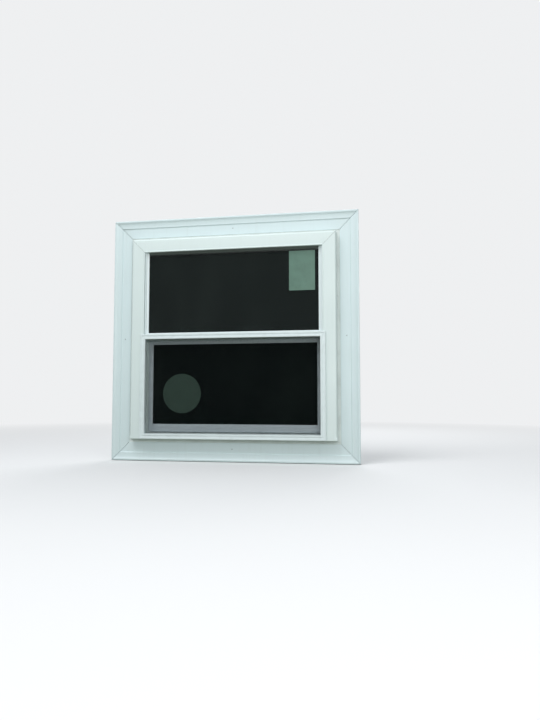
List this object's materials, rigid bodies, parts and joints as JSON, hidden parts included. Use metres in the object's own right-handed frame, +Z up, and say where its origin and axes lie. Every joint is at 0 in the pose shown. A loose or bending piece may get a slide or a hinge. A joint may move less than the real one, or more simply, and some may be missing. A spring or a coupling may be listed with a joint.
{
  "type": "sash window",
  "caption": "Single-hung window with its exterior casing and half insect screen: fixed upper light, lower sash that slides up and tilts in, cam locks and tilt latches.",
  "frame": {"origin": "middle of the sill's underside, in the plane of the wall's outer face (the casing's back)", "axes": "+X to the right seen from outside, +Y into the room, +Z up"},
  "size_m": [1.13, 0.094, 1.108],
  "materials": {
    "vinyl_frame": "satin white vinyl",
    "vinyl_sash": "satin white vinyl",
    "vinyl_bead": "satin white vinyl",
    "casing_vinyl": "satin cool-white moulding",
    "sealant": "tooled sealant",
    "glass": "clear float glass",
    "spacer_metal": "mill finish",
    "glazing_tape": "foam tape",
    "setting_block": "black rubber",
    "label_paper": "plain label film",
    "screen_metal": "painted roll-formed aluminium",
    "screen_trim": "black plastic",
    "mesh_fibre": "charcoal coated fibre",
    "steel": "plated steel",
    "lock_metal": "white painted die casting",
    "balance_plastic": "acetal",
    "latch_plastic": "white moulded plastic",
    "seal_fibre": "grey pile and bulb seal"
  },
  "bodies": {
    "frame": {"frame_head": "vinyl_frame", "frame_jamb_left": "vinyl_frame", "frame_jamb_right": "vinyl_frame", "frame_sill": "vinyl_frame", "meeting_rail": "vinyl_frame", "upper_glass_outer": "glass", "upper_glass_inner": "glass", "upper_spacer": "spacer_metal", "upper_glazing_tape": "glazing_tape", "upper_setting_blocks": "setting_block", "upper_bead_left": "vinyl_bead", "upper_bead_right": "vinyl_bead", "upper_bead_top": "vinyl_bead", "upper_bead_bottom": "vinyl_bead", "upper_label": "label_paper", "casing_left": "casing_vinyl", "casing_right": "casing_vinyl", "casing_top": "casing_vinyl", "casing_bottom": "casing_vinyl", "casing_nails": "steel", "perimeter_sealant": "sealant", "screen_bar_left": "screen_metal", "screen_bar_right": "screen_metal", "screen_bar_top": "screen_metal", "screen_bar_bottom": "screen_metal", "screen_corner_keys": "screen_trim", "screen_spline": "screen_trim", "insect_mesh": "mesh_fibre", "screen_springs": "steel", "lock_keepers": "lock_metal", "frame_screws": "steel", "balance_housings": "balance_plastic", "balance_coils": "steel", "balance_ribbons": "steel"},
    "shoes": {"balance_shoes": "balance_plastic"},
    "sash": {"sash_stile_left": "vinyl_sash", "sash_stile_right": "vinyl_sash", "sash_top_rail": "vinyl_sash", "sash_bottom_rail": "vinyl_sash", "lower_bead_left": "vinyl_bead", "lower_bead_right": "vinyl_bead", "lower_bead_top": "vinyl_bead", "lower_bead_bottom": "vinyl_bead", "lower_glass_outer": "glass", "lower_glass_inner": "glass", "lower_spacer": "spacer_metal", "lower_glazing_tape": "glazing_tape", "lower_setting_blocks": "setting_block", "lower_label": "label_paper", "sash_screws": "steel", "pivot_bars": "steel", "lock_bases": "lock_metal", "pivot_cams": "balance_plastic", "latch_housings": "latch_plastic", "sash_pile_seals": "seal_fibre", "sash_bulb_seal": "seal_fibre"},
    "lock_left": {"lock_lever_left": "lock_metal"},
    "lock_right": {"lock_lever_right": "lock_metal"},
    "latch_left": {"tilt_latch_left": "latch_plastic"},
    "latch_right": {"tilt_latch_right": "latch_plastic"}
  },
  "joints": [
    {"name": "sash_raise", "type": "slide", "parent": "frame", "child": "shoes", "axis": [0, 0, 1], "range_m": [0, 0.36], "deforming": ["balance_ribbons"]},
    {"name": "sash_tilt", "type": "hinge", "parent": "shoes", "child": "sash", "pos_m": [0, 0.026, 0.044], "axis": [-1, 0, 0], "range_deg": [0, 90]},
    {"name": "lock_left_turn", "type": "hinge", "parent": "sash", "child": "lock_left", "pos_m": [-0.24, 0.0145, 0.49], "axis": [0, 0, 1], "range_deg": [0, 180]},
    {"name": "lock_right_turn", "type": "hinge", "parent": "sash", "child": "lock_right", "pos_m": [0.24, 0.0145, 0.49], "axis": [0, 0, -1], "range_deg": [0, 180]},
    {"name": "latch_left_slide", "type": "slide", "parent": "sash", "child": "latch_left", "axis": [-1, 0, 0], "range_m": [0, 0.01]},
    {"name": "latch_right_slide", "type": "slide", "parent": "sash", "child": "latch_right", "axis": [1, 0, 0], "range_m": [0, 0.01]}
  ]
}
